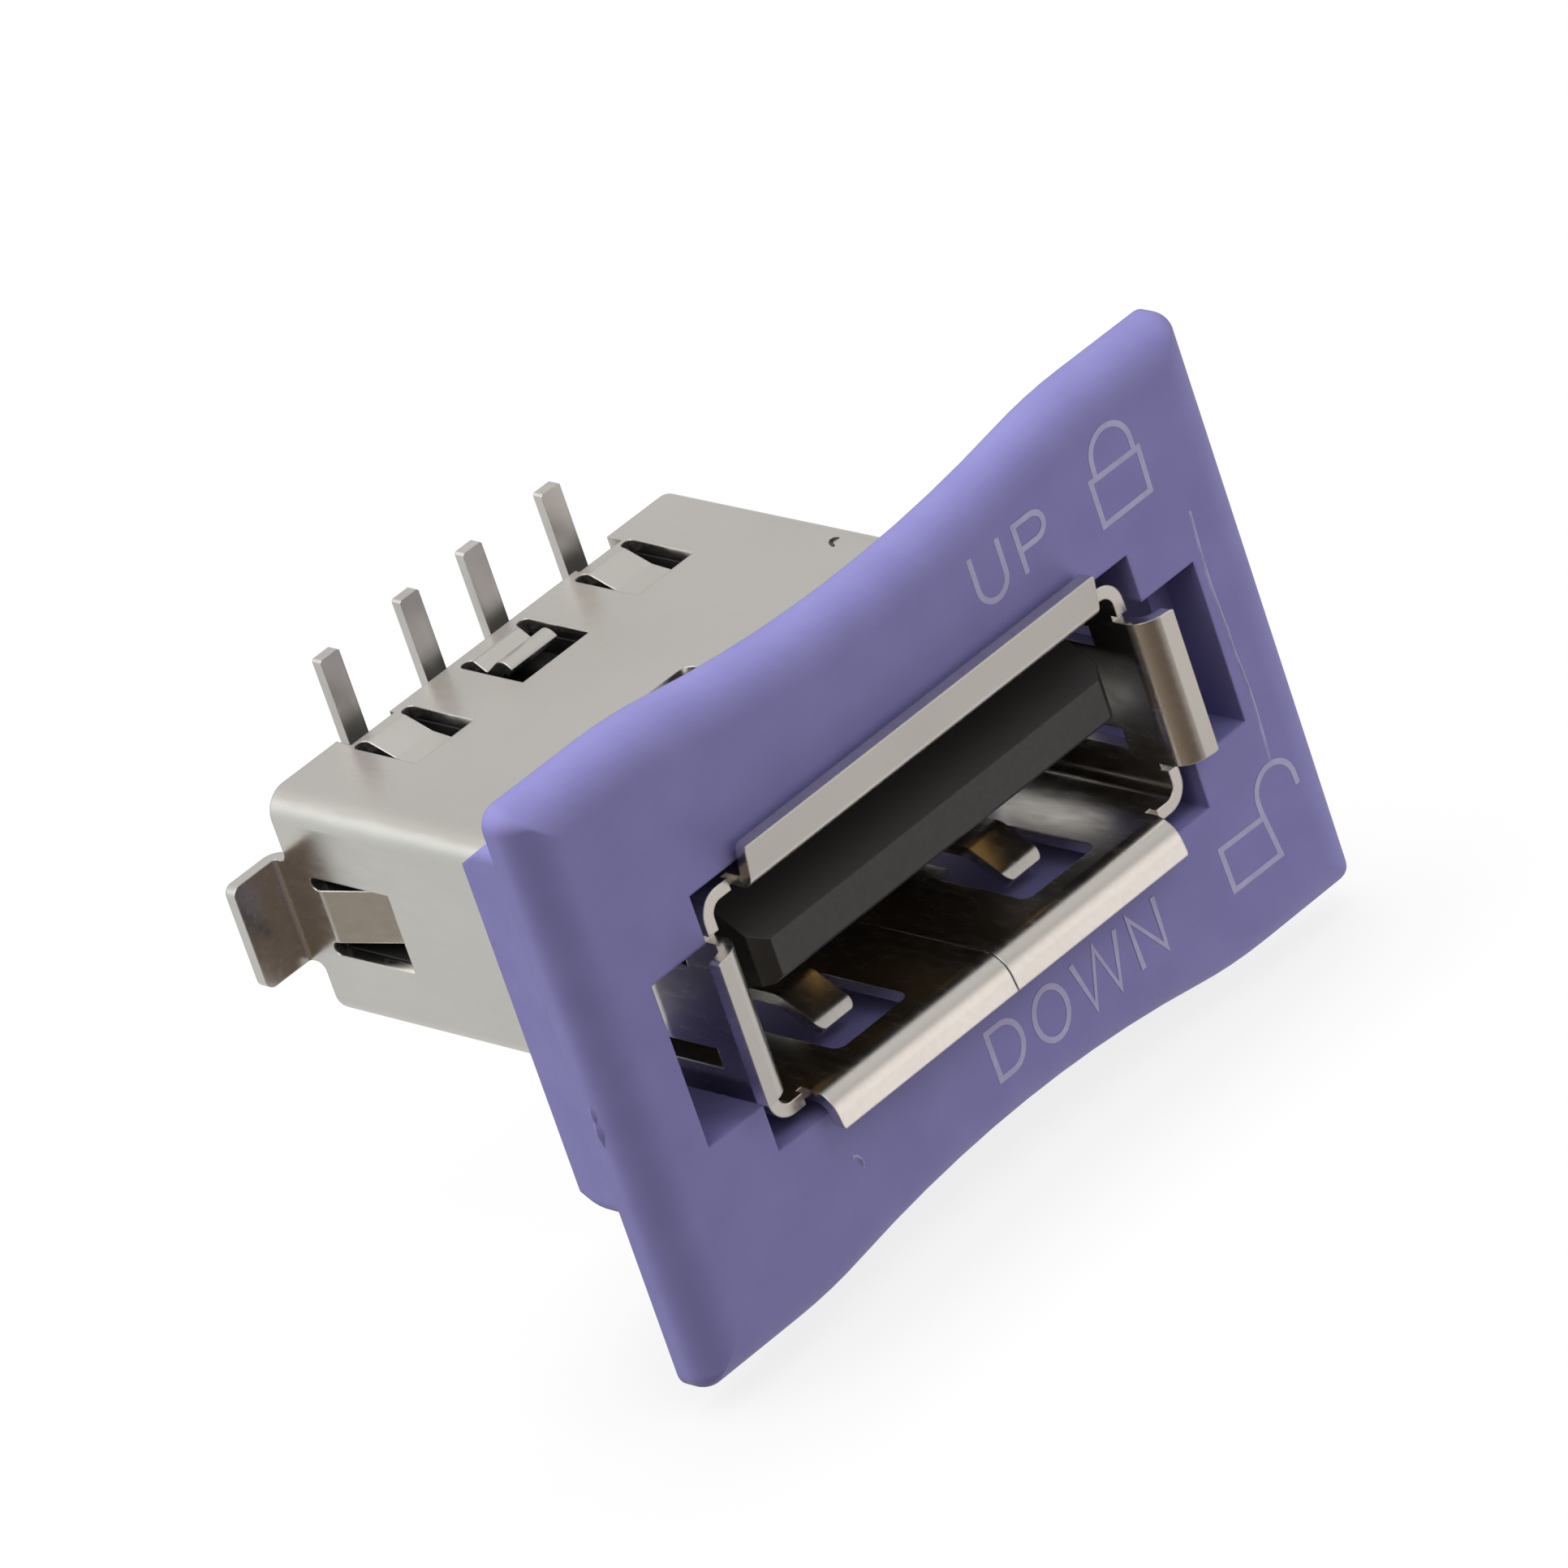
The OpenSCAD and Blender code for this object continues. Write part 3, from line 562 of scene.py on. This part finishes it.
# Gate scar: a torn stub on the slide's left side, as heights with the stub's reach at each
gateScar = {
    "front": {"sink": 0.07, "depth": 0.52},
    "crest": {"share": 0.6, "depth": 0.60},
    "back": {"sink": 0.02, "depth": 0.66},
    "reaches": (
        (0.10, 0.01), (0.0, 0.07), (-0.16, 0.09), (-0.31, 0.05),
        (-0.45, 0.11), (-0.62, 0.12), (-0.80, 0.06), (-0.95, 0.01),
    ),
}


def scarRows(scar):
    rows = []
    for height, reach in scar["reaches"]:
        row = (
            (-scar["front"]["sink"], scar["front"]["depth"] - reach),
            (reach * scar["crest"]["share"], scar["crest"]["depth"]),
            (-scar["back"]["sink"], scar["back"]["depth"] + reach),
        )
        rows.append([Vector((slideLow.x - out * mm, depth * mm, height * mm)) for out, depth in row])
    return rows


makeTrace("gateScar", scarRows(gateScar), left, "slide", violetPlastic)
print("traces of making added")


# The camera sees the white shader, and other rays meet the plain one
def showWhite(tree, plain, white, end):
    ray = addNode(tree, "ShaderNodeLightPath", (450, 450))
    choose = addNode(tree, "ShaderNodeMixShader", (850, 100))
    link(tree, ray, "Is Camera Ray", choose, "Fac")
    link(tree, plain, 0, choose, 1)
    link(tree, white, 0, choose, 2)
    link(tree, choose, "Shader", end, "Surface")


# Floor: plain and pale, shown white with a faint shadow close to the part
floorLook = {
    "half": 2.0,
    "gap": 0.0005,
    "colour": (0.8, 0.8, 0.8),
    "rough": 0.9,
    "shadow": {"reach": 0.005, "deepest": 0.75, "samples": 4},
}


def makeFloor():
    mesh = bpy.data.meshes.new("floor")
    half = floorLook["half"]
    level = solidBox[0].z - floorLook["gap"]
    corners = [(-half, -half, level), (half, -half, level), (half, half, level), (-half, half, level)]
    mesh.from_pydata(corners, [], [(0, 1, 2, 3)])
    floor = addObject("floor", mesh)
    material, tree, shader = newMaterial("paleFloor")
    setInputs(shader, {"Base Color": (*floorLook["colour"], 1), "Roughness": floorLook["rough"]})
    shadow = floorLook["shadow"]
    near = addNode(tree, "ShaderNodeAmbientOcclusion", (-500, -300), samples=shadow["samples"])
    near.inputs["Distance"].default_value = shadow["reach"]
    shade = spread(tree, (-250, -300), (shadow["deepest"], 1), (0, 1))
    white = addNode(tree, "ShaderNodeEmission", (0, -300))
    link(tree, near, "AO", shade, "Value")
    link(tree, shade, "Result", white, "Strength")
    showWhite(tree, shader, white, tree.nodes["Material Output"])
    mesh.materials.append(material)
    # Only the camera sees the floor, and the tent lights the part from below too
    floor.visible_glossy = False
    floor.visible_diffuse = False
    floor.visible_shadow = False


makeFloor()


# Studio light: an even tent with soft lighter and darker patches, shaded where the viewer stands
tent = {
    "even": (0.61, 0.60, 0.59),
    "patches": (
        {"towards": (0, 0, 1), "edge": 0.2, "colour": (0.08, 0.08, 0.08)},
        {"towards": (-0.6, 0, 0.8), "edge": 0.75, "colour": (1.20, 1.22, 1.22)},
        {"towards": (0, -0.6, 0.8), "edge": 0.75, "colour": (0.19, 0.185, 0.18)},
        {"towards": (-0.45, 0.45, 0.77), "edge": 0.7, "colour": (0.074, 0.078, 0.076)},
        {"towards": (-1, 0.25, 0), "edge": 0.45, "colour": (0.10, 0.15, 0.16)},
        {"towards": (-0.85, 0.1, 0.5), "edge": 0.65, "colour": (1.0, 1.03, 1.01)},
        {"towards": (0.75, -0.65, 0), "edge": 0.5, "colour": (0.05, 0.047, 0.045)},
        {"towards": (0, 0, -1), "edge": 0.3, "colour": (0.10, 0.094, 0.088)},
        {"towards": (0, -1, 0), "edge": 0, "colour": (-0.27, -0.28, -0.28)},
        {"towards": (0.45, -0.88, 0), "edge": 0.8, "colour": (0.70, 0.67, 0.64)},
    ),
    "shade": {"towards": (-0.8, -0.45, -0.35), "ends": (0.35, 0.75), "keep": (0.34, 0.27, 0.21)},
}


# 0 to 1 as a ray turns towards a direction; ends are cosines of the angle to it
def lookAlong(tree, place, row, towards, ends):
    along = addNode(tree, "ShaderNodeVectorMath", (-1100, row), operation="DOT_PRODUCT")
    along.inputs[1].default_value = Vector(towards).normalized()
    level = spread(tree, (-900, row), (0, 1), ends)
    level.interpolation_type = "SMOOTHSTEP"
    link(tree, place, "Generated", along, 0)
    link(tree, along, "Value", level, "Value")
    return level


def addPatches(tree, place):
    total = None
    for row, patch in enumerate(tent["patches"]):
        level = lookAlong(tree, place, -200 * row, patch["towards"], (patch["edge"], 1))
        spot = (-600 + 120 * row, -200 * row)
        add = addNode(tree, "ShaderNodeVectorMath", spot, operation="MULTIPLY_ADD")
        add.inputs[1].default_value = patch["colour"]
        link(tree, level, "Result", add, 0)
        if total is None:
            add.inputs[2].default_value = tent["even"]
        else:
            link(tree, total, "Vector", add, 2)
        total = add
    return total


def makeTent():
    world = bpy.data.worlds.new("tent")
    bpy.context.scene.world = world
    world.use_nodes = True
    tree = world.node_tree
    surround = tree.nodes["Background"]
    place = addNode(tree, "ShaderNodeTexCoord", (-1300, 0))
    total = addPatches(tree, place)
    shade = tent["shade"]
    dim = lookAlong(tree, place, 250, shade["towards"], shade["ends"])
    keep = addNode(tree, "ShaderNodeMix", (250, 200), data_type="VECTOR")
    setInputs(keep, {"A": (1, 1, 1), "B": shade["keep"]})
    both = addNode(tree, "ShaderNodeVectorMath", (450, 100), operation="MULTIPLY")
    link(tree, dim, "Result", keep, "Factor")
    link(tree, total, "Vector", both, 0)
    link(tree, keep, "Result", both, 1)
    link(tree, both, "Vector", surround, "Color")
    white = addNode(tree, "ShaderNodeBackground", (650, -100))
    white.inputs["Color"].default_value = (1, 1, 1, 1)
    showWhite(tree, surround, white, tree.nodes["World Output"])


makeTent()


# Softboxes: broad lamps for the matte plastic, left out of the metal's reflections, in metres and watts
softboxes = {
    "size": 0.04,
    "lamps": (
        {"name": "frontSoftbox", "place": (0.02, -0.055, 0.075), "power": 0.013},
        {"name": "topSoftbox", "place": (-0.02, 0.02, 0.1), "power": 0.052},
        {"name": "leftSoftbox", "place": (-0.07, 0.08, 0.03), "power": 0.027},
        {"name": "bounceSoftbox", "place": (0.055, -0.035, -0.06), "power": 0.026},
    ),
}


def addSoftbox(name, place, power):
    light = bpy.data.lights.new(name, "AREA")
    light.size = softboxes["size"]
    light.energy = power
    box = addObject(name, light)
    box.location = place
    box.visible_glossy = False
    box.rotation_mode = "QUATERNION"
    box.rotation_quaternion = (-Vector(place)).to_track_quat("-Z", "Y")


for lamp in softboxes["lamps"]:
    addSoftbox(lamp["name"], lamp["place"], lamp["power"])

bpy.context.scene.view_settings.view_transform = "Standard"
print("floor and light set")
